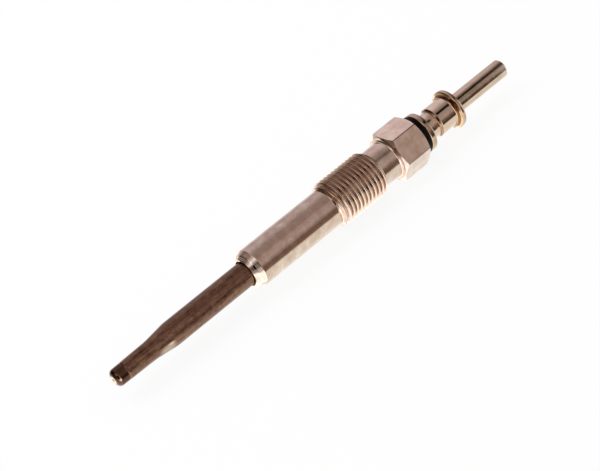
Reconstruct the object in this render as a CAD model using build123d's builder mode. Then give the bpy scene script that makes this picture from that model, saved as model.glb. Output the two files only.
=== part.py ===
from build123d import *
import math
import os

# Sheathed-element glow plug, in millimetres, lying on a flat of its hexagon.
# X runs along the plug from the heater tip to the connector pin, Z is up,
# and the origin is under the middle of the plug on the surface it lies on.
# Stations are distances from the heater tip, and diameters are outside ones
# unless they are named as bores.

# Fits between pieces
press_gap = 0.01
slip_gap = 0.05

# Heater sheath: a closed tube with a swaged slim end
sheath_diameter = 5.0
sheath_wall = 0.6
sheath_showing = 32.9
sheath_in_body = 20.0
tip_diameter = 3.6
tip_rear_diameter = 3.9
tip_length = 9.2
tip_corner = 1.0
tip_wall = 0.9
tip_boss_length = 0.8
tip_dimple_diameter = 0.8
tip_dimple_depth = 0.15
swage_length = 4.6
swage_blend = 16.0

# Seat, shank, thread, neck and hexagon of the body
seat_nose_diameter = 6.2
seat_nose_round = 0.3
seat_nose_length = 0.75
seat_step_diameter = 7.3
seat_cone_length = 1.05
shank_diameter = 8.2
shank_length = 19.8
thread_diameter = 10.0
thread_pitch = 1.0
thread_length = 12.6
thread_lead_in = 1.5
thread_run_out = 0.9
thread_angle = 60.0
thread_crest_share = 1 / 8
thread_root_share = 1 / 6
neck_diameter = 8.2
neck_length = 4.5
neck_fillet = 0.5
hex_across_flats = 10.0
hex_length = 7.0
hex_chamfer_angle = 30.0
hex_face_diameter = 9.6

# Bores of the body
mouth_relief_diameter = 5.5
mouth_relief_depth = 1.5
rear_bore_diameter = 5.4

# Centre electrode
nose_diameter = 1.2
nose_length = 2.6
rod_diameter = 2.2
stud_diameter = 3.0
stud_start = 1.5
stud_in_terminal = 7.0
stud_chamfer = 0.3

# Heating coil and regulating coil, wound to one diameter end to end
wire_diameter = 0.4
coil_pitch = 0.9
heating_turns = 8
regulating_turns = 15

# Seals and insulator
sheath_seal_length = 3.0
ring_section = 1.6
bush_flange_thickness = 1.5
bush_flange_round = 0.2
bush_sleeve_length = 3.5

# Terminal, from its base flange to the end of the connector pin. The bush ends flush with the base.
base_diameter = 8.6
base_thickness = 1.3
base_round = 0.2
terminal_neck_diameter = 5.6
terminal_neck_length = 2.75
cove_length = 0.35
cove_blend = 0.9
barrel_diameter = 6.45
barrel_length = 4.1
collar_diameter = 8.6
collar_flare_length = 0.45
collar_flare_blend = 0.5
collar_rim = 0.95
collar_round = 0.3
pin_diameter = 4.0
pin_length = 15.2
pin_chamfer = 0.5
terminal_bore_spare = 0.6
drill_angle = 118.0

# Stations along the plug
swage_at = tip_length
sheath_at = swage_at + swage_length
mouth_at = sheath_showing
seat_step_at = mouth_at + seat_nose_length
shank_at = seat_step_at + seat_cone_length
thread_at = shank_at + shank_length
neck_at = thread_at + thread_length
hex_at = neck_at + neck_length
bush_at = hex_at + hex_length
base_at = bush_at + bush_flange_thickness
terminal_neck_at = base_at + base_thickness
cove_at = terminal_neck_at + terminal_neck_length
barrel_at = cove_at + cove_length
flare_at = barrel_at + barrel_length
rim_at = flare_at + collar_flare_length
pin_at = rim_at + collar_rim
pin_end = pin_at + pin_length
sheath_end = mouth_at + sheath_in_body
seal_at = sheath_end - sheath_seal_length
ring_at = bush_at - bush_sleeve_length - ring_section - 2 * press_gap
stud_at = sheath_end + stud_start
stud_end = base_at + stud_in_terminal

# Radii that follow from a mating piece
sheath_bore = sheath_diameter / 2 - sheath_wall
tip_bore = tip_diameter / 2 - sheath_wall
tip_rear_bore = tip_rear_diameter / 2 - sheath_wall
front_bore = sheath_diameter / 2 + press_gap
stud_radius = stud_diameter / 2
seal_bore = stud_radius + ring_section + 2 * press_gap
coil_radius = (nose_diameter + wire_diameter) / 2 + press_gap
coil_start = tip_wall + wire_diameter / 2 + press_gap
heating_end = coil_start + coil_pitch * heating_turns
coil_end = heating_end + coil_pitch * regulating_turns
rod_at = coil_end + wire_diameter / 2 + press_gap
nose_at = rod_at - nose_length

# Frame: the plug lies on whichever is wider, the hexagon's flats or the thread
axis_height = max(hex_across_flats, thread_diameter) / 2
tip_x = -pin_end / 2
plug_axis = Axis((tip_x, 0, axis_height), (1, 0, 0))
section_plane = Plane(origin=(tip_x, 0, axis_height), x_dir=(1, 0, 0), z_dir=(0, -1, 0))


def on_axis(station):
    """Point on the plug's axis at a station."""
    return Vector(tip_x + station, 0, axis_height)


def cross_plane(station):
    """Plane square to the plug's axis at a station, with its y direction up."""
    return Plane(origin=on_axis(station), x_dir=(0, 1, 0), z_dir=(1, 0, 0))


def half_section(*corners):
    """Closed half section of a turned piece, from (station, radius, corner radius) points."""
    with BuildSketch(section_plane) as section:
        with BuildLine():
            FilletPolyline(
                [(station, radius) for station, radius, corner in corners],
                radius=[corner for station, radius, corner in corners],
                close=True,
            )
        make_face()
    return section.sketch


# Thread form: a groove between flat crests, deep enough for the flank angle
flank_slope = math.tan(math.radians(thread_angle / 2))
groove_floor = thread_root_share * thread_pitch / 2
groove_depth = (1 - thread_crest_share - thread_root_share) * thread_pitch / 2 / flank_slope
groove_overcut = 0.08
groove_mouth = groove_floor + (groove_depth + groove_overcut) * flank_slope
groove_turns = math.ceil(thread_length / thread_pitch) + 2


def thread_groove(station):
    """One turn of the thread's groove, starting at a station. It stands a little out of the crest."""
    centre = on_axis(station)
    with BuildLine() as turn:
        Helix(thread_pitch, thread_pitch, thread_diameter / 2 - groove_depth, centre, (1, 0, 0))
    foot = turn.line @ 0
    across = Vector(1, 0, 0).cross((foot - centre).normalized())
    with BuildPart() as groove:
        with BuildSketch(Plane(foot, x_dir=(1, 0, 0), z_dir=across)):
            with BuildLine():
                Polyline(
                    (-groove_floor, 0),
                    (groove_floor, 0),
                    (groove_mouth, groove_depth + groove_overcut),
                    (-groove_mouth, groove_depth + groove_overcut),
                    close=True,
                )
            make_face()
        sweep(path=turn.line, is_frenet=True)
    return groove.part


# Plug body: hexagon with turned corners, then the turned length, thread and bores
hex_corner_radius = hex_across_flats / 2 / math.cos(math.pi / 6)
hex_corner_cut = (hex_corner_radius - hex_face_diameter / 2) * math.tan(math.radians(hex_chamfer_angle))
with BuildPart() as plug_body:
    with BuildSketch(cross_plane(hex_at)):
        RegularPolygon(hex_across_flats / 2, 6, major_radius=False)
    extrude(amount=hex_length)
    revolve(
        half_section(
            (hex_at, 0, 0),
            (hex_at, hex_face_diameter / 2, 0),
            (hex_at + hex_corner_cut, hex_corner_radius, 0),
            (bush_at - hex_corner_cut, hex_corner_radius, 0),
            (bush_at, hex_face_diameter / 2, 0),
            (bush_at, 0, 0),
        ),
        axis=plug_axis,
        mode=Mode.INTERSECT,
    )
    revolve(
        half_section(
            (mouth_at, 0, 0),
            (mouth_at, seat_nose_diameter / 2, seat_nose_round),
            (seat_step_at, seat_step_diameter / 2, 0),
            (shank_at, shank_diameter / 2, 0),
            (thread_at, shank_diameter / 2, 0),
            (thread_at + thread_lead_in, thread_diameter / 2, 0),
            (neck_at - thread_run_out, thread_diameter / 2, 0),
            (neck_at, neck_diameter / 2, 0),
            (hex_at, neck_diameter / 2, neck_fillet),
            (hex_at, neck_diameter / 2 + neck_fillet, 0),
            (hex_at + hex_length / 2, neck_diameter / 2 + neck_fillet, 0),
            (hex_at + hex_length / 2, 0, 0),
        ),
        axis=plug_axis,
    )
    for turn in range(groove_turns):
        add(thread_groove(thread_at + (turn - 1) * thread_pitch), mode=Mode.SUBTRACT)
    revolve(
        half_section(
            (mouth_at, 0, 0),
            (mouth_at, mouth_relief_diameter / 2, 0),
            (mouth_at + mouth_relief_depth, mouth_relief_diameter / 2, 0),
            (mouth_at + mouth_relief_depth, front_bore, 0),
            (sheath_end, front_bore, 0),
            (sheath_end, rear_bore_diameter / 2, 0),
            (ring_at, rear_bore_diameter / 2, 0),
            (ring_at, seal_bore, 0),
            (bush_at, seal_bore, 0),
            (bush_at, 0, 0),
        ),
        axis=plug_axis,
        mode=Mode.SUBTRACT,
    )
plug_body.part.label = "plug_body"

# Heater sheath: the tip is closed by a wall with a weld boss inside and a centre dimple outside
with BuildPart() as heater_sheath:
    revolve(
        half_section(
            (tip_dimple_depth, 0, 0),
            (0, tip_dimple_diameter / 2, 0),
            (0, tip_diameter / 2, tip_corner),
            (swage_at, tip_rear_diameter / 2, swage_blend),
            (sheath_at, sheath_diameter / 2, swage_blend),
            (sheath_end, sheath_diameter / 2, 0),
            (sheath_end, sheath_bore, 0),
            (sheath_at, sheath_bore, swage_blend),
            (swage_at, tip_rear_bore, swage_blend),
            (tip_wall, tip_bore, 0),
            (tip_wall, nose_diameter / 2, 0),
            (tip_wall + tip_boss_length, nose_diameter / 2, 0),
            (tip_wall + tip_boss_length, 0, 0),
        ),
        axis=plug_axis,
    )
heater_sheath.part.label = "heater_sheath"

# Centre electrode: a nose inside the coil, a rod in the sheath and a stud that reaches the terminal
with BuildPart() as centre_electrode:
    revolve(
        half_section(
            (nose_at, 0, 0),
            (nose_at, nose_diameter / 2, 0),
            (rod_at, nose_diameter / 2, 0),
            (rod_at, rod_diameter / 2, 0),
            (stud_at, rod_diameter / 2, 0),
            (stud_at, stud_radius, 0),
            (stud_end - stud_chamfer, stud_radius, 0),
            (stud_end, stud_radius - stud_chamfer, 0),
            (stud_end, 0, 0),
        ),
        axis=plug_axis,
    )
centre_electrode.part.label = "centre_electrode"


def coil(start, turns):
    """Wire wound round the plug's axis from a station, in whole turns."""
    centre = on_axis(start)
    with BuildLine() as winding:
        Helix(coil_pitch, coil_pitch * turns, coil_radius, centre, (1, 0, 0))
    with BuildPart() as wire:
        with BuildSketch(Plane(winding.line @ 0, z_dir=winding.line % 0)):
            Circle(wire_diameter / 2)
        sweep(path=winding.line, is_frenet=True)
    return wire.part


# Heating coil behind the tip, and regulating coil from its end to the electrode's nose
with BuildPart() as heating_coil:
    add(coil(coil_start, heating_turns))
heating_coil.part.label = "heating_coil"

with BuildPart() as regulating_coil:
    add(coil(heating_end, regulating_turns))
regulating_coil.part.label = "regulating_coil"

# Magnesia filling: packed powder that takes all the room round the coils
with BuildPart() as magnesia_filling:
    revolve(
        half_section(
            (tip_wall + tip_boss_length, 0, 0),
            (tip_wall + tip_boss_length, nose_diameter / 2, 0),
            (tip_wall, nose_diameter / 2, 0),
            (tip_wall, tip_bore, 0),
            (swage_at, tip_rear_bore, swage_blend),
            (sheath_at, sheath_bore, swage_blend),
            (seal_at, sheath_bore, 0),
            (seal_at, rod_diameter / 2, 0),
            (rod_at, rod_diameter / 2, 0),
            (rod_at, nose_diameter / 2, 0),
            (nose_at, nose_diameter / 2, 0),
            (nose_at, 0, 0),
        ),
        axis=plug_axis,
    )
    add(heating_coil.part, mode=Mode.SUBTRACT)
    add(regulating_coil.part, mode=Mode.SUBTRACT)
magnesia_filling.part.label = "magnesia_filling"

# Sheath seal: a rubber sleeve that closes the sheath's open end round the rod
with BuildPart() as sheath_seal:
    revolve(
        half_section(
            (seal_at, rod_diameter / 2 + press_gap, 0),
            (seal_at, sheath_bore - press_gap, 0),
            (sheath_end, sheath_bore - press_gap, 0),
            (sheath_end, rod_diameter / 2 + press_gap, 0),
        ),
        axis=plug_axis,
    )
sheath_seal.part.label = "sheath_seal"

# Seal ring round the stud, in the bore behind the hexagon
with BuildPart() as seal_ring:
    with BuildSketch(section_plane):
        with Locations((ring_at + press_gap + ring_section / 2, stud_radius + press_gap + ring_section / 2)):
            Circle(ring_section / 2)
    revolve(axis=plug_axis)
seal_ring.part.label = "seal_ring"

# Insulating bush: its flange parts the terminal from the hexagon, and its sleeve holds the ring
bush_bore = stud_radius + slip_gap
bush_sleeve = seal_bore - slip_gap
with BuildPart() as insulating_bush:
    revolve(
        half_section(
            (bush_at - bush_sleeve_length, bush_bore, 0),
            (bush_at - bush_sleeve_length, bush_sleeve, 0),
            (bush_at, bush_sleeve, 0),
            (bush_at, base_diameter / 2, bush_flange_round),
            (base_at, base_diameter / 2, bush_flange_round),
            (base_at, bush_bore, 0),
        ),
        axis=plug_axis,
    )
insulating_bush.part.label = "insulating_bush"

# Terminal: base flange, neck, barrel, collar and connector pin, drilled for the stud
terminal_bore = stud_radius + press_gap
bore_end = stud_end + terminal_bore_spare
drill_point = terminal_bore / math.tan(math.radians(drill_angle / 2))
with BuildPart() as terminal:
    revolve(
        half_section(
            (base_at, terminal_bore, 0),
            (base_at, base_diameter / 2, base_round),
            (terminal_neck_at, base_diameter / 2, base_round),
            (terminal_neck_at, terminal_neck_diameter / 2, 0),
            (cove_at, terminal_neck_diameter / 2, cove_blend),
            (barrel_at, barrel_diameter / 2, 0),
            (flare_at, barrel_diameter / 2, collar_flare_blend),
            (rim_at, collar_diameter / 2, collar_round),
            (pin_at, collar_diameter / 2, collar_round),
            (pin_at, pin_diameter / 2, 0),
            (pin_end - pin_chamfer, pin_diameter / 2, 0),
            (pin_end, pin_diameter / 2 - pin_chamfer, 0),
            (pin_end, 0, 0),
            (bore_end + drill_point, 0, 0),
            (bore_end, terminal_bore, 0),
        ),
        axis=plug_axis,
    )
terminal.part.label = "terminal"

pieces = [
    plug_body,
    heater_sheath,
    heating_coil,
    regulating_coil,
    magnesia_filling,
    sheath_seal,
    centre_electrode,
    seal_ring,
    insulating_bush,
    terminal,
]
os.makedirs("parts", exist_ok=True)
for piece in pieces:
    export_step(piece.part, f"parts/{piece.part.label}.step")
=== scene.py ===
"""Sheathed diesel glow plug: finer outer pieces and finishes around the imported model.

Pieces are modelled in millimetres with the plug's axis on the X axis, and brought to metres at their
place in the frame when they are finished. Stations along X are those of the frame.
"""

import logging
import math
from collections.abc import Callable, Mapping, Sequence
from dataclasses import dataclass, field
from enum import Enum

import bmesh
import bpy
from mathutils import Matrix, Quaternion, Vector

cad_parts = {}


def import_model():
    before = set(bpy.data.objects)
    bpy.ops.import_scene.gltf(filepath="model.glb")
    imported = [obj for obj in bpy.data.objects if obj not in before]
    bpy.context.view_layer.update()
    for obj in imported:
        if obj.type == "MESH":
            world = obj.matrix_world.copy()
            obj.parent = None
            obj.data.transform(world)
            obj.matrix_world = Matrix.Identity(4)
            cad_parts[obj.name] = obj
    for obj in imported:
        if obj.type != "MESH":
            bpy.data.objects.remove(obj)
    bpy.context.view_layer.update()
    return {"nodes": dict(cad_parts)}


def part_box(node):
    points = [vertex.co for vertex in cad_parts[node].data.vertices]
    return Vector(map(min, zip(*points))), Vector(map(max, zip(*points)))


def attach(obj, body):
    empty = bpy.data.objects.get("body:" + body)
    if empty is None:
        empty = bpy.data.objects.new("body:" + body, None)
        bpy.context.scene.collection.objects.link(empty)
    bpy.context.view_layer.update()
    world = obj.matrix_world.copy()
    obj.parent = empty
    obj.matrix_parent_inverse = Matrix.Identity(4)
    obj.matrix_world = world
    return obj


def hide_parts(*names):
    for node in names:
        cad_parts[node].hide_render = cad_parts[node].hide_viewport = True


log = logging.getLogger("glow_plug")

Piece = bpy.types.Object
Material = bpy.types.Material
Tree = bpy.types.NodeTree
Node = bpy.types.Node
Socket = bpy.types.NodeSocket
Inputs = Mapping[str | int, object]
Stops = Mapping[float, str]

MM = 0.001
RING_STEPS = 120
ARC_STEP = math.radians(10)
MERGE_MM = 0.001
SMOOTH_ANGLE = math.radians(12.5)
BODY = "root"

# White, the darkest colour of the light, and the strengths of the light's rings.
WHITE = "#FFFFFF"
DARK = "#080504"
GLOW = 1.2
GLEAM = 1.6
GLARE = 2.3


def linear(colour: str) -> tuple[float, float, float, float]:
    """Turn an sRGB hex colour into linear values.

    Args:
        colour: Six hex digits after a hash.

    Returns:
        Red, green, blue and an alpha of 1.
    """
    channels = [int(colour[i : i + 2], 16) / 255 for i in (1, 3, 5)]
    red, green, blue = (c / 12.92 if c <= 0.04045 else ((c + 0.055) / 1.055) ** 2.4 for c in channels)
    return red, green, blue, 1.0


def per_metre(size_mm: float) -> float:
    """Texture scale that gives a feature its size in millimetres."""
    return 1 / (size_mm * MM)


def add_node(
    tree: Tree, kind: str, inputs: Inputs | None = None, stops: Stops | None = None, **settings: object
) -> Node:
    """Add a shader node, set it up and link it.

    Args:
        tree: Node tree to add to.
        kind: Kind of shader node.
        inputs: Values, outputs, or nodes that give their first output in use, by input name or number.
        stops: Places and hex colours of a colour ramp.
        settings: Properties of the node.

    Returns:
        The new node.
    """
    node = tree.nodes.new("ShaderNode" + kind)
    for name, value in settings.items():
        setattr(node, name, value)
    for key, value in (inputs or {}).items():
        if isinstance(value, Node):
            value = next(output for output in value.outputs if output.enabled)
        if isinstance(value, Socket):
            tree.links.new(value, node.inputs[key])
        else:
            node.inputs[key].default_value = value
    if stops:
        elements = node.color_ramp.elements
        while len(elements) < len(stops):
            elements.new(1.0)
        for element, (place, colour) in zip(elements, stops.items()):
            element.position = place
            element.color = linear(colour)
    return node


class Slot(Enum):
    """Material slots of the record."""

    BODY = "nickel_plated_steel"
    TERMINAL = "bright_nickel"
    SHEATH = "oxidised_nickel_alloy"
    BUSH = "black_polyamide"
    ELECTRODE = "bare_steel"
    HEATING_COIL = "heating_wire"
    REGULATING_COIL = "regulating_wire"
    FILLING = "magnesia"
    SEAL = "seal_rubber"


@dataclass(frozen=True)
class Reach:
    """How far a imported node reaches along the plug, in millimetres of the frame."""

    start: float
    end: float

    @classmethod
    def of(cls, node: str) -> "Reach":
        """Read a node's reach from its box."""
        low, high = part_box(node)
        return cls(low.x / MM, high.x / MM)


@dataclass(frozen=True)
class Corner:
    """Corner of a half section: its station, its radius and the round on it."""

    x: float
    radius: float
    blend: float = 0.0


def select_only(*objects: Piece) -> None:
    """Select these objects alone, if any, and make the last one active."""
    bpy.ops.object.select_all(action="DESELECT")
    for obj in objects:
        obj.select_set(True)
        bpy.context.view_layer.objects.active = obj


def select_where(obj: Piece, kind: str, test: Callable[[object], bool]) -> None:
    """Select elements of the mesh in edit mode by a test.

    Args:
        obj: Object in edit mode.
        kind: One of VERT, EDGE and FACE.
        test: Says whether an element is wanted.
    """
    bpy.ops.mesh.select_mode(type=kind)
    bpy.ops.mesh.select_all(action="DESELECT")
    mesh = bmesh.from_edit_mesh(obj.data)
    elements = {"VERT": mesh.verts, "EDGE": mesh.edges, "FACE": mesh.faces}[kind]
    for element in filter(test, elements):
        element.select_set(True)
    mesh.select_flush_mode()
    bmesh.update_edit_mesh(obj.data)


def draw_section(name: str, corners: Sequence[Corner], looped: bool = False) -> Piece:
    """Draw a half section by extruding one vertex from corner to corner, then round its corners.

    Args:
        name: Name of the object.
        corners: Corners in order.
        looped: Whether the last corner joins the first.

    Returns:
        The object, left in edit mode.
    """
    select_only()
    bpy.ops.mesh.primitive_plane_add(size=1)
    obj = bpy.context.object
    obj.name = obj.data.name = name
    bpy.ops.object.mode_set(mode="EDIT")
    bpy.ops.mesh.select_mode(type="VERT")
    bpy.ops.mesh.merge(type="CENTER")
    places = [Vector((corner.x, 0, corner.radius)) for corner in corners]
    bpy.ops.transform.translate(value=places[0])
    for place, following in zip(places, places[1:]):
        bpy.ops.mesh.extrude_region_move(TRANSFORM_OT_translate={"value": following - place})
    if looped:
        ends = (places[0], places[-1])
        select_where(obj, "VERT", lambda v: any((v.co - end).length < MERGE_MM for end in ends))
        bpy.ops.mesh.edge_face_add()
    for index, corner in enumerate(corners):
        if corner.blend:
            place = places[index]
            turn = (place - places[index - 1]).angle(places[(index + 1) % len(places)] - place)
            select_where(obj, "VERT", lambda v, place=place: (v.co - place).length < MERGE_MM)
            offset = corner.blend * math.tan(turn / 2)
            cuts = max(2, math.ceil(turn / ARC_STEP))
            bpy.ops.mesh.bevel(affect="VERTICES", offset=offset, segments=cuts, clamp_overlap=False)
    return obj


def close_up(obj: Piece) -> None:
    """Merge doubles and point the faces outwards, from edit mode back to object mode."""
    bpy.ops.mesh.select_mode(type="VERT")
    bpy.ops.mesh.select_all(action="SELECT")
    bpy.ops.mesh.remove_doubles(threshold=MERGE_MM)
    bpy.ops.mesh.normals_make_consistent(inside=False)
    bpy.ops.object.mode_set(mode="OBJECT")


def turn_section(name: str, corners: Sequence[Corner], looped: bool = False) -> Piece:
    """Turn a half section once round the plug's axis.

    Args:
        name: Name of the object.
        corners: Corners of the half section in order.
        looped: Whether the last corner joins the first.

    Returns:
        The turned object.
    """
    obj = draw_section(name, corners, looped)
    bpy.ops.mesh.select_all(action="SELECT")
    bpy.ops.mesh.spin(steps=RING_STEPS, angle=math.tau, center=(0, 0, 0), axis=(1, 0, 0))
    close_up(obj)
    return obj


def apply_modifier(obj: Piece, kind: str, **settings: object) -> None:
    """Give an object a modifier and apply it.

    Args:
        obj: Object to change.
        kind: Type name of the modifier.
        settings: Properties of the modifier.
    """
    select_only(obj)
    modifier = obj.modifiers.new(kind, kind)
    for name, value in settings.items():
        setattr(modifier, name, value)
    bpy.ops.object.modifier_apply(modifier=modifier.name)


def settle(obj: Piece, axis_height: float) -> Piece:
    """Bring a modelled piece to metres at its place, and shade it.

    Args:
        obj: Piece modelled in millimetres about the X axis.
        axis_height: Height of the plug's axis in the frame.

    Returns:
        The same object, at the origin with its place in its mesh.
    """
    select_only(obj)
    obj.location = (0, 0, axis_height * MM)
    obj.scale = (MM, MM, MM)
    bpy.ops.object.transform_apply(location=True, rotation=True, scale=True)
    bpy.ops.object.shade_smooth_by_angle(angle=SMOOTH_ANGLE)
    apply_modifier(obj, "WEIGHTED_NORMAL", keep_sharp=True)
    return obj


def paint(obj: Piece, material: Material) -> None:
    """Give an object one material."""
    obj.data.materials.clear()
    obj.data.materials.append(material)


@dataclass(frozen=True)
class Finish:
    """A material in the making: its name, and the roughness that its pattern swings between."""

    name: str
    smooth: float = 0.3
    rough: float = 0.45
    gloss_span: tuple[float, float] = (0.3, 0.7)

    def material(self) -> Material:
        """Make the material.

        Returns:
            The material, with its surface under one shader.
        """
        material = bpy.data.materials.new(self.name)
        material.use_nodes = True
        tree = material.node_tree
        tree.nodes.clear()
        place = add_node(tree, "TexCoord").outputs["Object"]
        shader = add_node(tree, "BsdfPrincipled", self.surface(tree, place))
        add_node(tree, "OutputMaterial", {"Surface": shader})
        return material

    def surface(self, tree: Tree, place: Socket) -> dict[str, object]:
        """Build the nodes under the shader, which each finish does in its own way.

        Args:
            tree: Material's node tree.
            place: Object coordinates.

        Returns:
            The shader's inputs.
        """
        raise NotImplementedError

    def texture(self, tree: Tree, pattern: Node, relief: Node, height_mm: float) -> dict[str, object]:
        """Vary the gloss with one pattern and raise the surface with another.

        Args:
            tree: Material's node tree.
            pattern: Pattern of the gloss.
            relief: Pattern of the relief.
            height_mm: Height of the relief.

        Returns:
            The shader's inputs for both.
        """
        start, end = self.gloss_span
        span = {"From Min": start, "From Max": end, "To Min": self.smooth, "To Max": self.rough}
        return {
            "Roughness": add_node(tree, "MapRange", {"Value": pattern, **span}),
            "Normal": add_node(tree, "Bump", {"Height": relief, "Distance": height_mm * MM}),
        }


@dataclass(frozen=True)
class Wear:
    """Stretch of plate dulled by hands and tools: how much rougher it is and how deep its stains are."""

    reach: Reach
    haze: float
    stains: float = 0.0


@dataclass(frozen=True)
class PlatedSteel(Finish):
    """Nickel plate on turned steel: warm grey metal with faint tool marks, stained where it is handled,
    with painted shade by the distance from the axis.
    """

    smooth: float = 0.03
    rough: float = 0.09
    gloss_span: tuple[float, float] = (0.1, 0.4)
    clean: str = "#E2D3C1"
    tarnished: str = "#CDB8A6"
    tone_span: tuple[float, float] = (0.36, 0.62)
    mottle_mm: float = 2.2
    # Grain and tool marks are three to five times coarser than real ones, so that a render keeps them.
    grain_mm: float = 0.25
    mark_mm: float = 0.14
    mark_length_mm: float = 6.0
    mark_height_mm: float = 0.0007
    axis_height: float = 5.0
    # Painted shade and painted reflections: colours by the distance from the axis that darken the plate.
    painted_shade: Stops = field(default_factory=dict)
    painted_shade_reach: float = 6.0
    wears: tuple[Wear, ...] = ()
    wear_fade: float = 0.5
    stain: str = "#B8A691"
    stain_mm: float = 2.4
    stain_span: tuple[float, float] = (0.46, 0.68)

    def surface(self, tree: Tree, place: Socket) -> dict[str, object]:
        """Build the plate with its wear and its painted shade.

        Args:
            tree: Material's node tree.
            place: Object coordinates.

        Returns:
            The shader's inputs.
        """
        mottling = {"Scale": per_metre(self.mottle_mm), "Detail": 4.0, "Roughness": 0.6}
        mottle = add_node(tree, "TexNoise", {"Vector": place, **mottling})
        tones = dict(zip(self.tone_span, (self.tarnished, self.clean)))
        colour = add_node(tree, "ValToRGB", {"Fac": mottle}, tones)
        graining = {"Scale": per_metre(self.grain_mm), "Detail": 3.0}
        grain = add_node(tree, "TexNoise", {"Vector": place, **graining})
        uneven = add_node(tree, "Math", {0: mottle, 1: grain}, operation="MULTIPLY")
        width, length = per_metre(self.mark_mm), per_metre(self.mark_length_mm)
        across = add_node(tree, "Mapping", {"Vector": place, "Scale": (width, length, length)})
        marks = add_node(tree, "TexNoise", {"Vector": across, "Scale": 1.0, "Detail": 2.0})
        texture = self.texture(tree, uneven, marks, self.mark_height_mm)
        roughness = texture["Roughness"]
        for wear in self.wears:
            colour, roughness = self.lay_wear(tree, place, colour, roughness, wear)
        if self.painted_shade:
            colour = self.lay_painted_shade(tree, place, colour)
        return {**texture, "Base Color": colour, "Roughness": roughness, "Metallic": 1.0}

    def lay_wear(
        self, tree: Tree, place: Socket, colour: Node, roughness: Node, wear: Wear
    ) -> tuple[Node, Node]:
        """Haze and stain one stretch of the plate.

        Args:
            tree: Material's node tree.
            place: Object coordinates.
            colour: Colour of the plate.
            roughness: Roughness of the plate.
            wear: The stretch.

        Returns:
            Colour with the stains and roughness with the haze.
        """
        station = add_node(tree, "SeparateXYZ", {0: place}).outputs["X"]
        middle = (wear.reach.start + wear.reach.end) / 2
        half = (wear.reach.end - wear.reach.start) / 2
        offset = add_node(tree, "Math", {0: station, 1: middle * MM}, operation="SUBTRACT")
        distance = add_node(tree, "Math", {0: offset}, operation="ABSOLUTE")
        start, end = (half - self.wear_fade) * MM, half * MM
        fade = {"From Min": start, "From Max": end, "To Min": 1.0, "To Max": 0.0}
        share = add_node(tree, "MapRange", {"Value": distance, **fade})
        hazed = add_node(tree, "Math", {0: share, 1: wear.haze, 2: roughness}, operation="MULTIPLY_ADD")
        staining = {"Scale": per_metre(self.stain_mm), "Detail": 5.0, "Roughness": 0.65}
        stains = add_node(tree, "TexNoise", {"Vector": place, **staining})
        start, end = self.stain_span
        span = {"From Min": start, "From Max": end, "To Max": wear.stains}
        depth = add_node(tree, "MapRange", {"Value": stains, **span})
        stained = add_node(tree, "Math", {0: share, 1: depth}, operation="MULTIPLY")
        mixed = add_node(tree, "Mix", {0: stained, 6: colour, 7: linear(self.stain)}, data_type="RGBA")
        return mixed, hazed

    def lay_painted_shade(self, tree: Tree, place: Socket, colour: Node) -> Node:
        """Paint shade and reflections on the plate by the distance from the plug's axis.

        Args:
            tree: Material's node tree.
            place: Object coordinates.
            colour: Colour of the plate.

        Returns:
            The colour with the painted shade.
        """
        axis = (0.0, 0.0, self.axis_height * MM)
        across = add_node(tree, "VectorMath", {0: place, 1: axis}, operation="SUBTRACT")
        flat = add_node(tree, "VectorMath", {0: across, 1: (0.0, 1.0, 1.0)}, operation="MULTIPLY")
        radius = add_node(tree, "VectorMath", {0: flat}, operation="LENGTH")
        share = add_node(tree, "Math", {0: radius, 1: self.painted_shade_reach * MM}, operation="DIVIDE")
        # Darkening by radius: painted shade and painted reflections.
        stops = {stop / self.painted_shade_reach: shade for stop, shade in self.painted_shade.items()}
        shade_colour = add_node(tree, "ValToRGB", {"Fac": share}, stops)
        blend = {"data_type": "RGBA", "blend_type": "MULTIPLY"}
        return add_node(tree, "Mix", {0: 1.0, 6: colour, 7: shade_colour}, **blend)


@dataclass(frozen=True)
class Patch:
    """Patch of colour on a surface, in millimetres: its middle, its half width and how many times longer it
    is. Some patches are real wear and weld marks, others painted highlights and painted shade.
    """

    middle: tuple[float, float, float]
    radius: float
    edge: float
    colour: str
    strength: float = 1.0
    stretch: float = 1.0


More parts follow.
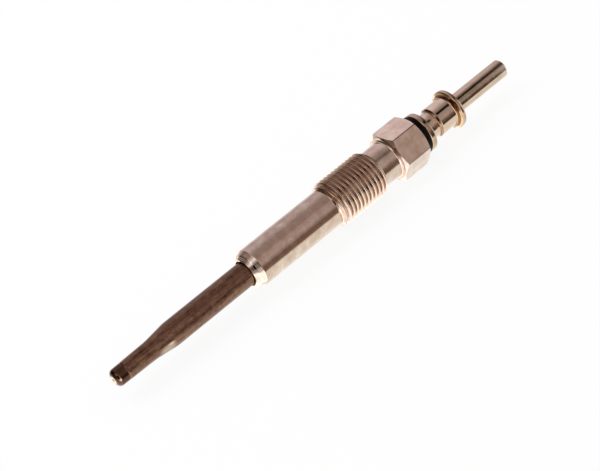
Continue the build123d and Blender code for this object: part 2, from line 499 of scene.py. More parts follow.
@dataclass(frozen=True)
class Oxide(Finish):
    """Nickel alloy browned by heat: thin dark oxide with streaks along the tube and a low, uneven gloss."""

    smooth: float = 0.24
    rough: float = 0.42
    dark: str = "#5E4538"
    middle: str = "#856754"
    light: str = "#A08463"
    tone_places: tuple[float, float, float] = (0.36, 0.52, 0.68)
    # Real draw marks are about 0.1 mm wide; they are drawn coarser so that a render keeps them.
    streak_mm: float = 0.35
    streak_length_mm: float = 5.0
    streak_height_mm: float = 0.004
    blotch_mm: float = 1.2
    blotch_share: float = 0.55
    burnt: str = "#5C4436"
    burnt_from: float = 0.0
    burnt_fade: float = 0.5
    burnt_gloss: float = 0.12
    # Patches of colour: real wear and weld marks, and painted highlights and painted shade.
    patches_and_painted_light: tuple[Patch, ...] = ()

    def surface(self, tree: Tree, place: Socket) -> dict[str, object]:
        """Build the oxide with its burnt end, its patches and its painted highlights and shade.

        Args:
            tree: Material's node tree.
            place: Object coordinates.

        Returns:
            The shader's inputs.
        """
        width, length = per_metre(self.streak_mm), per_metre(self.streak_length_mm)
        along = add_node(tree, "Mapping", {"Vector": place, "Scale": (length, width, width)})
        streaks = add_node(tree, "TexNoise", {"Vector": along, "Scale": 1.0, "Detail": 5.0})
        blotching = {"Scale": per_metre(self.blotch_mm), "Detail": 6.0, "Roughness": 0.75}
        blotches = add_node(tree, "TexNoise", {"Vector": place, **blotching})
        both = add_node(tree, "Mix", {0: self.blotch_share, 2: streaks, 3: blotches}, data_type="FLOAT")
        tones = dict(zip(self.tone_places, (self.dark, self.middle, self.light)))
        tone = add_node(tree, "ValToRGB", {"Fac": both}, tones)
        texture = self.texture(tree, both, streaks, self.streak_height_mm)
        station = add_node(tree, "SeparateXYZ", {0: place}).outputs["X"]
        start, end = (self.burnt_from - self.burnt_fade) * MM, (self.burnt_from + self.burnt_fade) * MM
        fade = {"From Min": start, "From Max": end, "To Min": 1.0, "To Max": 0.0}
        burning = add_node(tree, "MapRange", {"Value": station, **fade})
        glosses = {0: burning, 2: texture["Roughness"], 3: self.burnt_gloss}
        sheen = add_node(tree, "Mix", glosses, data_type="FLOAT")
        colour = add_node(tree, "Mix", {0: burning, 6: tone, 7: linear(self.burnt)}, data_type="RGBA")
        for patch in self.patches_and_painted_light:
            colour = self.lay_patch(tree, place, blotches, colour, patch)
        return {**texture, "Base Color": colour, "Roughness": sheen, "Metallic": 1.0}

    def lay_patch(self, tree: Tree, place: Socket, uneven: Node, colour: Node, patch: Patch) -> Node:
        """Lay a patch with a ragged edge on the oxide.

        Args:
            tree: Material's node tree.
            place: Object coordinates.
            uneven: Noise that frays the edge.
            colour: Colour of the oxide.
            patch: The patch.

        Returns:
            The colour with the patch.
        """
        middle = tuple(value * MM for value in patch.middle)
        offset = add_node(tree, "VectorMath", {0: place, 1: middle}, operation="SUBTRACT")
        squeeze = (1 / patch.stretch, 1.0, 1.0)
        squeezed = add_node(tree, "VectorMath", {0: offset, 1: squeeze}, operation="MULTIPLY")
        distance = add_node(tree, "VectorMath", {0: squeezed}, operation="LENGTH")
        fraying = {0: uneven, 1: patch.edge * MM, 2: distance}
        frayed = add_node(tree, "Math", fraying, operation="MULTIPLY_ADD")
        start, end = (patch.radius - patch.edge / 2) * MM, (patch.radius + patch.edge / 2) * MM
        fade = {"From Min": start, "From Max": end, "To Min": patch.strength, "To Max": 0.0}
        share = add_node(tree, "MapRange", {"Value": frayed, **fade})
        return add_node(tree, "Mix", {0: share, 6: colour, 7: linear(patch.colour)}, data_type="RGBA")


@dataclass(frozen=True)
class Plain(Finish):
    """A stock material with a grain: colour and gloss vary a little from grain to grain."""

    dark: str = "#100D0D"
    light: str = "#1C1817"
    tone_span: tuple[float, float] = (0.35, 0.65)
    metallic: float = 0.0
    specular: float = 0.5
    # Coarser than a real grain of some 0.05 mm, so that a close view shows it.
    grain_mm: float = 0.3
    grain_height_mm: float = 0.003

    def surface(self, tree: Tree, place: Socket) -> dict[str, object]:
        """Build the grain.

        Args:
            tree: Material's node tree.
            place: Object coordinates.

        Returns:
            The shader's inputs.
        """
        graining = {"Scale": per_metre(self.grain_mm), "Detail": 4.0}
        grain = add_node(tree, "TexNoise", {"Vector": place, **graining})
        tones = dict(zip(self.tone_span, (self.dark, self.light)))
        tone = add_node(tree, "ValToRGB", {"Fac": grain}, tones)
        texture = self.texture(tree, grain, grain, self.grain_height_mm)
        kind = {"Metallic": self.metallic, "Specular IOR Level": self.specular}
        return {**texture, **kind, "Base Color": tone}


@dataclass
class PlugBody:
    """Steel body: conical seat, shank, thread, neck and hexagon, with its bores."""

    reach: Reach
    sheath_end: float
    bush_start: float
    axis_height: float
    nose_radius: float = 3.1
    nose_round: float = 0.03
    nose_length: float = 0.75
    step_radius: float = 3.65
    edge_break: float = 0.04
    cone_length: float = 1.05
    nose_rings: int = 2
    cone_rings: int = 3
    ring_half: float = 0.05
    ring_depth: float = 0.028
    shank_radius: float = 4.1
    shank_length: float = 19.8
    thread_radius: float = 5.0
    pitch: float = 1.0
    thread_length: float = 12.6
    wound_before: float = 2.5
    spare_turns: int = 3
    lead_radius: float = 4.3
    lead_in: float = 1.5
    lead_groove: float = 0.5
    run_out: float = 0.9
    flank_angle: float = math.radians(30)
    crest_share: float = 1 / 8
    root_share: float = 1 / 6
    crest_round: float = 0.09
    root_round: float = 0.11
    flank_cuts: int = 4
    neck_radius: float = 4.1
    neck_fillet: float = 0.5
    across_flats: float = 10.0
    hex_length: float = 7.0
    hex_spare: float = 1.0
    hex_edge_round: float = 0.22
    hex_edge_cuts: int = 4
    end_facing: float = 0.99
    chamfer_angle: float = math.radians(30)
    face_radius: float = 4.8
    relief_radius: float = 2.78
    relief_depth: float = 1.5
    front_bore: float = 2.51
    rear_bore: float = 2.7
    seal_bore: float = 3.12
    seal_room: float = 1.62

    def __post_init__(self) -> None:
        """Work out the stations along the body."""
        self.mouth = self.reach.start
        self.step = self.mouth + self.nose_length
        self.shank = self.step + self.cone_length
        self.thread = self.shank + self.shank_length
        self.neck = self.thread + self.thread_length
        self.rear = self.reach.end
        self.hexagon = self.rear - self.hex_length
        self.depth = (1 - self.crest_share - self.root_share) * self.pitch / 2 / math.tan(self.flank_angle)

    def turned_rings(self, start: Corner, end: Corner, count: int) -> list[Corner]:
        """Cut the rings that a tool leaves on a cone.

        Args:
            start: Start of the cone.
            end: End of the cone.
            count: How many rings it shows.

        Returns:
            Corners of the rings, evenly spread between start and end.
        """
        length = math.hypot(end.x - start.x, end.radius - start.radius)
        along = (end.x - start.x) / length
        rise = (end.radius - start.radius) / length
        corners = []
        for ring in range(1, count + 1):
            middle = length * ring / (count + 1)
            for reach, depth in ((-self.ring_half, 0.0), (0.0, self.ring_depth), (self.ring_half, 0.0)):
                place = middle + reach
                x = start.x + along * place + rise * depth
                corners.append(Corner(x, start.radius + rise * place - along * depth))
        return corners

    def front(self) -> Piece:
        """Turn the bores and the outside as far as the thread, from the hexagon's rear face."""
        ring_seat = self.bush_start - self.seal_room
        nose = Corner(self.mouth, self.nose_radius, self.nose_round)
        step = Corner(self.step, self.step_radius, self.edge_break)
        shank = Corner(self.shank, self.shank_radius, self.edge_break)
        return turn_section("body_front", (
            Corner(self.rear, self.face_radius),
            Corner(self.rear, self.seal_bore),
            Corner(ring_seat, self.seal_bore),
            Corner(ring_seat, self.rear_bore),
            Corner(self.sheath_end, self.rear_bore),
            Corner(self.sheath_end, self.front_bore),
            Corner(self.mouth + self.relief_depth, self.front_bore),
            Corner(self.mouth + self.relief_depth, self.relief_radius),
            Corner(self.mouth, self.relief_radius, self.edge_break),
            nose,
            *self.turned_rings(nose, step, self.nose_rings),
            step,
            *self.turned_rings(step, shank, self.cone_rings),
            shank,
            Corner(self.thread, self.shank_radius),
            Corner(self.thread, self.lead_radius),
        ))

    def neck_piece(self) -> Piece:
        """Turn the neck and its fillet into the hexagon's front face."""
        return turn_section("body_neck", (
            Corner(self.neck, self.neck_radius),
            Corner(self.hexagon, self.neck_radius, self.neck_fillet),
            Corner(self.hexagon, self.face_radius),
        ))

    def trim(self, x: float, radius: float) -> float:
        """Radius of a place on the thread once its ends are tapered.

        Args:
            x: Station of the place.
            radius: Its radius on a thread that runs on at full height.

        Returns:
            Its radius on the lead-in, the full thread or the run-out.
        """
        if x <= self.thread:
            return self.lead_radius
        rise = min(1.0, (x - self.thread) / self.lead_in)
        fall = min(1.0, (self.neck - x) / self.run_out)
        lead = self.lead_radius + (self.thread_radius - self.lead_radius) * rise
        front = lead - self.lead_groove * (self.thread_radius - radius)
        back = self.neck_radius + (self.thread_radius - self.neck_radius) * fall
        return min(radius, front, back)

    def thread_piece(self) -> Piece:
        """Wind the thread from one pitch of its section, and taper its ends."""
        pitch = self.pitch
        start = self.thread - self.wound_before * pitch
        crest = self.crest_share * pitch / 2
        root = self.root_share * pitch / 2
        floor = self.thread_radius - self.depth
        obj = draw_section("body_thread", (
            Corner(start, self.thread_radius),
            Corner(start + crest, self.thread_radius, self.crest_round),
            Corner(start + pitch / 2 - root, floor, self.root_round),
            Corner(start + pitch / 2 + root, floor, self.root_round),
            Corner(start + pitch - crest, self.thread_radius, self.crest_round),
            Corner(start + pitch, self.thread_radius),
        ))
        select_where(obj, "EDGE", lambda edge: edge.calc_length() > self.depth / 2)
        bpy.ops.mesh.subdivide(number_cuts=self.flank_cuts)
        bpy.ops.object.mode_set(mode="OBJECT")
        turns = math.ceil(self.thread_length / pitch) + self.spare_turns
        winding = {"axis": "X", "angle": math.tau, "screw_offset": pitch, "iterations": turns}
        apply_modifier(obj, "SCREW", **winding, steps=RING_STEPS, render_steps=RING_STEPS)
        for vertex in obj.data.vertices:
            x = min(max(vertex.co.x, self.thread), self.neck)
            radius = math.hypot(vertex.co.y, vertex.co.z)
            share = self.trim(x, radius) / radius
            vertex.co = (x, vertex.co.y * share, vertex.co.z * share)
        return obj

    def hexagon_piece(self) -> Piece:
        """Round a hexagonal bar's edges and turn its corners off, open at both ends."""
        corner_radius = self.across_flats / 2 / math.cos(math.pi / 6)
        select_only()
        size = {"radius": corner_radius, "depth": self.hex_length + 2 * self.hex_spare}
        place = {"location": ((self.hexagon + self.rear) / 2, 0, 0), "rotation": (0, math.pi / 2, 0)}
        bpy.ops.mesh.primitive_cylinder_add(vertices=6, **size, **place)
        bar = bpy.context.object
        bpy.ops.object.transform_apply(location=True, rotation=True, scale=True)
        bpy.ops.object.mode_set(mode="EDIT")
        select_where(bar, "EDGE", lambda e: abs(e.verts[0].co.x - e.verts[1].co.x) > self.hex_length)
        bpy.ops.mesh.bevel(affect="EDGES", offset=self.hex_edge_round, segments=self.hex_edge_cuts)
        bpy.ops.object.mode_set(mode="OBJECT")
        outer = corner_radius + self.hex_spare
        cut = (outer - self.face_radius) * math.tan(self.chamfer_angle)
        cones = turn_section("hexagon_cones", (
            Corner(self.hexagon, 0),
            Corner(self.hexagon, self.face_radius),
            Corner(self.hexagon + cut, outer),
            Corner(self.rear - cut, outer),
            Corner(self.rear, self.face_radius),
            Corner(self.rear, 0),
        ))
        apply_modifier(bar, "BOOLEAN", operation="INTERSECT", object=cones, solver="EXACT")
        bpy.data.objects.remove(cones)
        select_only(bar)
        bpy.ops.object.mode_set(mode="EDIT")
        select_where(bar, "FACE", lambda face: abs(face.normal.x) > self.end_facing)
        bpy.ops.mesh.delete(type="FACE")
        bpy.ops.object.mode_set(mode="OBJECT")
        return bar

    def build(self) -> Piece:
        """Join the stretches of the body into one closed piece.

        Returns:
            The body, at its place in metres.
        """
        parts = [self.front(), self.thread_piece(), self.neck_piece(), self.hexagon_piece()]
        select_only(*parts)
        bpy.ops.object.join()
        body = bpy.context.object
        body.name = body.data.name = "body_of_plug"
        bpy.ops.object.mode_set(mode="EDIT")
        close_up(body)
        return settle(body, self.axis_height)


@dataclass
class HeaterSheath:
    """Heater tube: closed tip, slim swaged end and plain stretch that runs into the body."""

    reach: Reach
    axis_height: float
    radius: float = 2.5
    wall: float = 0.6
    tip_radius: float = 1.8
    tip_rear_radius: float = 1.95
    tip_length: float = 9.2
    tip_corner: float = 1.0
    tip_wall: float = 0.9
    boss_radius: float = 0.6
    boss_length: float = 0.8
    dimple_radius: float = 0.4
    dimple_depth: float = 0.15
    dimple_edge: float = 0.06
    ring_place: float = 2.7
    ring_width: float = 0.3
    ring_depth: float = 0.05
    swage_length: float = 4.6
    swage_blend: float = 14.0
    shoulder_blend: float = 7.0

    def build(self) -> Piece:
        """Turn the sheath.

        Returns:
            The sheath, at its place in metres.
        """
        tip = self.reach.start
        end = self.reach.end
        swage = tip + self.tip_length
        tube = swage + self.swage_length
        ring = tip + self.ring_place
        slope = (self.tip_rear_radius - self.tip_radius) / self.tip_length
        ring_radius = self.tip_radius + slope * self.ring_place
        half = self.ring_width / 2
        sheath = turn_section("sheath_of_heater", (
            Corner(tip + self.dimple_depth, 0),
            Corner(tip, self.dimple_radius, self.dimple_edge),
            Corner(tip, self.tip_radius, self.tip_corner),
            Corner(ring - half, ring_radius - slope * half),
            Corner(ring, ring_radius - self.ring_depth),
            Corner(ring + half, ring_radius + slope * half),
            Corner(swage, self.tip_rear_radius, self.swage_blend),
            Corner(tube, self.radius, self.shoulder_blend),
            Corner(end, self.radius),
            Corner(end, self.radius - self.wall),
            Corner(tube, self.radius - self.wall, self.swage_blend),
            Corner(swage, self.tip_rear_radius - self.wall, self.swage_blend),
            Corner(tip + self.tip_wall, self.tip_radius - self.wall),
            Corner(tip + self.tip_wall, self.boss_radius),
            Corner(tip + self.tip_wall + self.boss_length, self.boss_radius),
            Corner(tip + self.tip_wall + self.boss_length, 0),
        ))
        return settle(sheath, self.axis_height)


@dataclass
class InsulatingBush:
    """Moulded bush: a flange between hexagon and terminal, and a sleeve in the bore."""

    reach: Reach
    flange_end: float
    axis_height: float
    bore: float = 1.55
    sleeve_radius: float = 3.07
    flange_radius: float = 4.3
    flange_thickness: float = 1.5
    flange_round: float = 0.25

    def build(self) -> Piece:
        """Turn the bush.

        Returns:
            The bush, at its place in metres.
        """
        flange = self.flange_end - self.flange_thickness
        bush = turn_section("bush_of_insulator", (
            Corner(self.reach.start, self.bore),
            Corner(self.reach.start, self.sleeve_radius),
            Corner(flange, self.sleeve_radius),
            Corner(flange, self.flange_radius, self.flange_round),
            Corner(self.flange_end, self.flange_radius, self.flange_round),
            Corner(self.flange_end, self.bore),
        ), looped=True)
        return settle(bush, self.axis_height)


@dataclass
class Terminal:
    """Terminal: base flange, neck, barrel, collar and connector pin, drilled for the stud."""

    reach: Reach
    stud_end: float
    axis_height: float
    bore: float = 1.51
    bore_spare: float = 0.6
    drill_angle: float = math.radians(59)
    base_radius: float = 4.3
    base_thickness: float = 1.3
    base_round: float = 0.2
    neck_radius: float = 2.8
    neck_length: float = 2.75
    neck_fillet: float = 0.1
    cove_length: float = 0.35
    cove_blend: float = 0.9
    barrel_radius: float = 3.225
    barrel_length: float = 4.1
    barrel_edge: float = 0.08
    collar_radius: float = 4.3
    flare_length: float = 0.45
    flare_blend: float = 0.5
    rim_length: float = 0.95
    collar_round: float = 0.3
    pin_radius: float = 2.0
    pin_fillet: float = 0.1
    pin_chamfer: float = 0.5
    pin_edge: float = 0.15

    def build(self) -> Piece:
        """Turn the terminal.

        Returns:
            The terminal, at its place in metres.
        """
        base = self.reach.start
        neck = base + self.base_thickness
        cove = neck + self.neck_length
        barrel = cove + self.cove_length
        flare = barrel + self.barrel_length
        rim = flare + self.flare_length
        pin = rim + self.rim_length
        end = self.reach.end
        bore_end = self.stud_end + self.bore_spare
        terminal = turn_section("terminal_of_plug", (
            Corner(bore_end + self.bore / math.tan(self.drill_angle), 0),
            Corner(bore_end, self.bore),
            Corner(base, self.bore),
            Corner(base, self.base_radius, self.base_round),
            Corner(neck, self.base_radius, self.base_round),
            Corner(neck, self.neck_radius, self.neck_fillet),
            Corner(cove, self.neck_radius, self.cove_blend),
            Corner(barrel, self.barrel_radius, self.barrel_edge),
            Corner(flare, self.barrel_radius, self.flare_blend),
            Corner(rim, self.collar_radius, self.collar_round),
            Corner(pin, self.collar_radius, self.collar_round),
            Corner(pin, self.pin_radius, self.pin_fillet),
            Corner(end - self.pin_chamfer, self.pin_radius, self.pin_edge),
            Corner(end, self.pin_radius - self.pin_chamfer, self.pin_edge),
            Corner(end, 0),
        ))
        return settle(terminal, self.axis_height)


@dataclass(frozen=True)
class Viewpoint:
    """Camera that looks down on the plug from the tip's side, rolled as it was held."""

    azimuth: float = 29.73
    elevation: float = 34.90
    roll: float = -20.89
    distance: float = 334.0
    lens: float = 105.0
    sensor: float = 36.0
    clip: tuple[float, float] = (0.01, 10.0)
    aim: tuple[float, float, float] = (-6.02, -0.43, 4.26)

    def back(self) -> Vector:
        """Direction from the aim to the camera."""
        turn, lift = math.radians(self.azimuth), math.radians(self.elevation)
        return Vector((-math.sin(turn) * math.cos(lift), -math.cos(turn) * math.cos(lift), math.sin(lift)))

    def place(self) -> None:
        """Add the camera and make it the scene's own."""
        select_only()
        bpy.ops.object.camera_add(location=(Vector(self.aim) + self.back() * self.distance) * MM)
        camera = bpy.context.object
        camera.name = "camera"
        camera.data.lens = self.lens
        camera.data.sensor_width = self.sensor
        camera.data.clip_start, camera.data.clip_end = self.clip
        camera.rotation_mode = "QUATERNION"
        level = (-self.back()).to_track_quat("-Z", "Y")
        camera.rotation_quaternion = level @ Quaternion((0, 0, 1), math.radians(self.roll))
        bpy.context.scene.camera = camera


@dataclass(frozen=True)
class Ring:
    """Ring of the tent round the plug's axis.

    It shows in reflections whose direction along the plug is past begins, and fully past full. Its bands
    are colours by the angle in degrees, from the front over the top. The last meets the first at the back.
    """

    begins: float
    full: float
    strength: float
    bands: Stops


@dataclass(frozen=True)
class Studio:
    """White floor under a tent of light in a dim room.

    Polished metal shows the tent in bands that run along the plug. Faces turned to the tip or to the pin
    look past the tent into the room.
    """

    room: str = "#8A7670"
    card: str = "#F4F4F4"
    floor_size: float = 2.0
    floor_shadow: float = 0.1
    ambient: float = 0.75
    lamp_size: float = 0.5
    lamp_watts: float = 2.2
    lamp_place: tuple[float, float, float] = (-0.25, 0.35, 0.6)
    rings: tuple[Ring, ...] = (
        # Room behind the tip, dim above a grey floor.
        Ring(-0.99, -0.95, GLEAM, {
            -180: "#675A55", -150: "#675A55", -125: "#F2F0FA", -20: "#F2F0FA", 10: "#958881", 40: "#6F5F5A",
            100: "#5D4E49", 160: "#5D4E49",
        }),
        # Floor, windows and walls on the tip's side of the tent.
        Ring(-0.82, -0.76, GLARE, {
            -180: "#8A827C", -168: "#A49E98", -148: "#DAD8DA", -130: "#E4E2E8", -70: "#E0DEE4",
            -45: "#D8D6DA", -28: WHITE, -12: WHITE, -8: "#A09C9C", 0: "#837C7A", 10: "#7C7674",
            17: "#5A5450", 20: DARK, 47: DARK, 51: "#67605F", 58: "#928E90", 66: "#C8C4CA", 73: "#D2CECF",
            80: "#ACA4A6", 90: "#8E8686", 104: "#544A46", 125: "#322C28", 168: "#28221F",
        }),
        # Skirt of the tent, where the crests of the thread see it.
        Ring(-0.29, -0.26, GLARE, {
            -180: "#D2C9D2", -150: WHITE, 24: WHITE, 38: "#EADED8", 50: "#C4B2AC", 64: "#A48E88",
            94: "#8C7A74", 122: "#5E524C", 165: "#544842",
        }),
        # Tent where the shank and the sheath see it.
        Ring(-0.07, -0.02, GLOW, {
            -180: "#D2C9D2", -150: WHITE, -100: "#F7F7F7", -60: "#F1EDEB", -25: "#EDE8E5", -20: "#826A5D",
            -8: "#7A6458", 0: "#715A4D", 8: "#806B64", 18: "#A0908F", 30: "#B2A2A2", 42: "#AA9897",
            54: "#AA9897", 66: "#9B8683", 100: "#978889", 114: "#AFA2A5", 134: "#C3B6BB", 160: "#B4AAB0",
        }),
        # Tent where hexagon and terminal see it, with a dark open seam.
        Ring(0.456, 0.466, GLOW, {
            -180: "#D2C8D8", -160: "#E8E3E9", -146: WHITE, -110: "#F5F5F5", -60: "#EDE9E7", -30: "#EBE7E6",
            -23: "#43352A", -11: "#43352A", -3: "#74615D", 8: "#7C6A66", 15: "#AC9C97", 26: "#B1A09D",
            50: "#A39593", 58: "#9A8D8C", 61: DARK, 75: DARK, 78: "#837779", 90: "#9D9395", 100: "#AEA2A6",
            112: "#CBBBBF", 136: "#E0D2DA", 160: "#D8CCD3",
        }),
        # Tent where the connector pin sees it, dimmer than round the hexagon.
        Ring(0.504, 0.509, GLOW, {
            -180: "#CFC5D2", -160: "#E4DFE6", -146: WHITE, -110: "#F0F0F0", -60: "#DCD8D6", -30: "#EBE7E6",
            -20: "#5A4A3E", -12: "#3A2B22", 0: "#4A3A30", 8: "#6B5A55", 15: "#8E7F79", 26: "#8E7F7C",
            50: "#817573", 58: "#7A6E6C", 61: DARK, 75: DARK, 84: "#4E4241", 92: "#766A6B", 104: "#A3979A",
            112: "#BBABAF", 136: "#D0C2CA", 160: "#C4B8BF",
        }),
        # Floor and walls on the pin's side of the tent.
        Ring(0.538, 0.552, GLOW, {
            -180: "#7E7167", -150: "#84776E", -128: "#F2F4FF", -8: "#F2F4FF", 40: "#E8E4E8", 56: "#A09490",
            80: "#7C6D67", 100: "#665851", 160: "#665851",
        }),
    )

    def add_floor(self) -> None:
        """Lay the floor that catches the plug's shadow."""
        select_only()
        bpy.ops.mesh.primitive_plane_add(size=self.floor_size)
        floor = bpy.context.object
        floor.name = "floor"
        floor.visible_glossy = False
        material = bpy.data.materials.new("white_card")
        material.use_nodes = True
        tree = material.node_tree
        tree.nodes.clear()
        seen = add_node(tree, "LightPath").outputs["Is Camera Ray"]
        card = add_node(tree, "BsdfDiffuse", {"Color": linear(self.card)})
        glow = add_node(tree, "Emission", {"Color": linear(WHITE)})
        share = add_node(tree, "Math", {0: seen, 1: 1 - self.floor_shadow}, operation="MULTIPLY")
        mixed = add_node(tree, "MixShader", {0: share, 1: card, 2: glow})
        add_node(tree, "OutputMaterial", {"Surface": mixed})
        paint(floor, material)

    def add_world(self) -> None:
        """Hang the tent: white to the camera, even to matt surfaces, banded to polished ones."""
        world = bpy.data.worlds.new("tent")
        bpy.context.scene.world = world
        world.use_nodes = True
        tree = world.node_tree
        tree.nodes.clear()
        axes = add_node(tree, "SeparateXYZ", {0: add_node(tree, "TexCoord").outputs["Generated"]})
        front = add_node(tree, "Math", {0: axes.outputs["Y"], 1: -1.0}, operation="MULTIPLY")
        lift = add_node(tree, "Math", {0: axes.outputs["Z"], 1: front}, operation="ARCTAN2")
        turn = add_node(tree, "MapRange", {"Value": lift, "From Min": -math.pi, "From Max": math.pi})
        shown: object = linear(self.room)
        for ring in self.rings:
            edge = {"From Min": ring.begins, "From Max": ring.full}
            share = add_node(tree, "MapRange", {"Value": axes.outputs["X"], **edge})
            closed = {**ring.bands, 180: ring.bands[-180]}
            stops = {angle / 360 + 0.5: colour for angle, colour in closed.items()}
            bands = add_node(tree, "ValToRGB", {"Fac": turn}, stops)
            lit = add_node(tree, "VectorMath", {0: bands, "Scale": ring.strength}, operation="SCALE")
            shown = add_node(tree, "Mix", {0: share, 6: shown, 7: lit}, data_type="RGBA")
        ray = add_node(tree, "LightPath")
        even = add_node(tree, "Background", {"Color": linear(WHITE), "Strength": self.ambient})
        banded = add_node(tree, "Background", {"Color": shown})
        blank = add_node(tree, "Background", {"Color": linear(WHITE)})
        polished = add_node(tree, "MixShader", {0: ray.outputs["Is Glossy Ray"], 1: even, 2: banded})
        seen = add_node(tree, "MixShader", {0: ray.outputs["Is Camera Ray"], 1: polished, 2: blank})
        add_node(tree, "OutputWorld", {"Surface": seen})

    def add_lamp(self) -> None:
        """Hang one soft lamp above and behind the plug."""
        select_only()
        bpy.ops.object.light_add(type="AREA", location=self.lamp_place)
        lamp = bpy.context.object
        lamp.name = "soft_lamp"
        lamp.visible_glossy = False
        lamp.data.size = self.lamp_size
        lamp.data.energy = self.lamp_watts
        lamp.rotation_mode = "QUATERNION"
        lamp.rotation_quaternion = (-Vector(self.lamp_place)).to_track_quat("-Z", "Y")


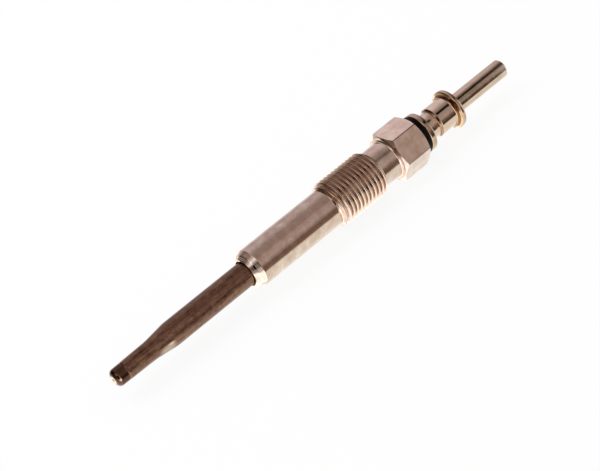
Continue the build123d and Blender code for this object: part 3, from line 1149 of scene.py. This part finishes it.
@dataclass
class GlowPlug:
    """The whole plug: outer pieces modelled anew, inner pieces kept as packed."""

    nodes: dict[str, Piece]
    finishes: dict[Slot, Material] = field(default_factory=dict)

    def make_finishes(self, body: PlugBody, sheath: HeaterSheath) -> None:
        """Make every finish once.

        Args:
            body: The body, for the stretches of its finish.
            sheath: The sheath, for the places of its marks.
        """
        height = body.axis_height
        tip = sheath.reach.start
        made = {
            # Soft pinkish grey metal: clear bands of light on the cylinders, dulled where it is handled.
            # Painted shade darkens the thread's flanks and roots, and a painted dark reflection line runs
            # on the hexagon's rounded edges.
            Slot.BODY: PlatedSteel(
                "dull_nickel_on_turned_steel",
                axis_height=height,
                # Painted shade from 4.38 to 4.8 mm on the thread's flanks and roots and in the neck's
                # fillet; a painted dark reflection line above 5.70 mm on the hexagon's rounded edges.
                painted_shade={
                    4.13: WHITE, 4.38: "#E2D8D1", 4.8: "#E2D8D1", 4.92: WHITE, 5.69: WHITE,
                    5.702: "#D9D6D5",
                },
                wears=(
                    Wear(Reach(body.shank, body.thread), 0.07, 0.55),
                    Wear(Reach(body.thread, body.neck), 0.08),
                    Wear(Reach(body.neck, body.hexagon), 0.09),
                ),
            ),
            # Brighter metal with crisp, dark-edged reflections. Painted shade and a painted golden
            # reflection lie in its corners: the cove by the neck, the flare into the collar and the
            # collar's rim.
            Slot.TERMINAL: PlatedSteel(
                "bright_nickel_on_turned_steel",
                smooth=0.04,
                rough=0.10,
                clean="#E6D5BF",
                tarnished="#D8C5AE",
                mark_height_mm=0.0004,
                axis_height=height,
                # Painted shade and painted golden reflection by radius: cove, flare and collar rim darker
                # and golden, pin slightly darker.
                painted_shade={
                    2.05: "#F4F2EF", 2.2: WHITE, 2.805: WHITE, 2.83: "#A28E79", 3.17: "#A28E79",
                    3.22: WHITE, 3.24: WHITE, 3.3: "#8F7455", 3.75: "#8F7455", 3.85: "#E8D8BC",
                    4.1: "#E8D8BC", 4.18: "#A88C68", 4.28: "#DCD4CC",
                },
            ),
            # Dark chocolate brown with streaks along the tube, a grey worn patch and a pale welded tip.
            # Painted highlights on the tip's shoulder and the worn patch's upper edge, partly along the
            # underside; painted shade in the tip's dimple.
            Slot.SHEATH: Oxide(
                "heat_browned_nickel_alloy",
                burnt_from=tip + sheath.ring_place,
                patches_and_painted_light=(
                    # Paler band along the underside near the tip: partly wear, partly painted highlight.
                    Patch((tip + 6.6, -1.45, height - 1.15), 0.75, 0.8, "#A8947F", 0.6, 4.5),
                    Patch((tip + 11.5, -2.1, height - 0.65), 1.1, 0.6, "#BBA896", 0.85, 2.0),
                    # Painted highlight along the worn patch's upper edge.
                    Patch((tip + 12.4, -2.3, height + 0.05), 0.34, 0.25, "#E0D0C4", 0.85, 3.2),
                    Patch((tip, 0.0, height), 0.95, 0.3, "#C4B797", 0.9),
                    # Darker middle of the welded tip, over its dimple: painted shade.
                    Patch((tip, 0.0, height), 0.45, 0.2, "#4A3A2A", 0.95),
                    # Painted highlight on the tip's rounded shoulder.
                    Patch((tip + 0.75, -1.65, height + 0.4), 0.36, 0.25, "#CBB5AA", 0.85),
                ),
            ),
            # Deep matt black line between two bright metals.
            Slot.BUSH: Plain("black_moulded_polyamide", dark="#050202", light="#0C0606", specular=0.08),
            # Light grey rod with a satin gleam.
            Slot.ELECTRODE: Plain(
                "bare_drawn_steel", 0.25, 0.4, dark="#8E8A86", light="#B5B1AC", metallic=1.0
            ),
            # Dull dark grey wire.
            Slot.HEATING_COIL: Plain(
                "heating_wire_grey_oxide", dark="#57534F", light="#7A756F", metallic=1.0
            ),
            # Paler, slightly yellow wire.
            Slot.REGULATING_COIL: Plain(
                "nickel_regulating_wire", dark="#8C8377", light="#B3A999", metallic=1.0
            ),
            # Chalky off-white powder.
            Slot.FILLING: Plain("packed_magnesia_powder", 0.85, 0.95, dark="#D9D5CC", light="#F0EDE6"),
            # Matt black rubber.
            Slot.SEAL: Plain("black_seal_rubber", 0.6, 0.75, dark="#0E0E0F", light="#1B1B1C"),
        }
        self.finishes = {slot: finish.material() for slot, finish in made.items()}

    def dress(self, piece: Piece, slot: Slot, node: str) -> None:
        """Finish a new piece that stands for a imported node.

        Args:
            piece: The new piece, at its place.
            slot: Record's slot of its finish.
            node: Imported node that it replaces.
        """
        paint(piece, self.finishes[slot])
        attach(piece, BODY)
        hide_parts(node)
        log.info("%s: %d faces", piece.name, len(piece.data.polygons))

    def dress_packed(self) -> None:
        """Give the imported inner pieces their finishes."""
        inner = {
            "centre_electrode": Slot.ELECTRODE,
            "heating_coil": Slot.HEATING_COIL,
            "regulating_coil": Slot.REGULATING_COIL,
            "magnesia_filling": Slot.FILLING,
            "sheath_seal": Slot.SEAL,
            "seal_ring": Slot.SEAL,
        }
        for name, slot in inner.items():
            paint(self.nodes[name], self.finishes[slot])
            log.info("%s keeps its packed form", name)

    def build(self) -> None:
        """Build and dress every piece."""
        low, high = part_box("terminal")
        axis_height = (low.z + high.z) / 2 / MM
        names = ("plug_body", "heater_sheath", "insulating_bush", "terminal", "centre_electrode")
        body, sheath, bush, terminal, stud = map(Reach.of, names)
        plug_body = PlugBody(body, sheath.end, bush.start, axis_height)
        heater_sheath = HeaterSheath(sheath, axis_height)
        self.make_finishes(plug_body, heater_sheath)
        self.dress(plug_body.build(), Slot.BODY, "plug_body")
        self.dress(heater_sheath.build(), Slot.SHEATH, "heater_sheath")
        self.dress(InsulatingBush(bush, terminal.start, axis_height).build(), Slot.BUSH, "insulating_bush")
        self.dress(Terminal(terminal, stud.end, axis_height).build(), Slot.TERMINAL, "terminal")
        self.dress_packed()


def main() -> None:
    """Build the plug, its light and its camera."""
    logging.basicConfig(level=logging.INFO, format="%(name)s: %(message)s")
    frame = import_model()
    GlowPlug(frame["nodes"]).build()
    viewpoint = Viewpoint()
    viewpoint.place()
    studio = Studio()
    studio.add_floor()
    studio.add_world()
    studio.add_lamp()
    bpy.context.scene.view_settings.view_transform = "Standard"


if __name__ == "__main__":
    main()
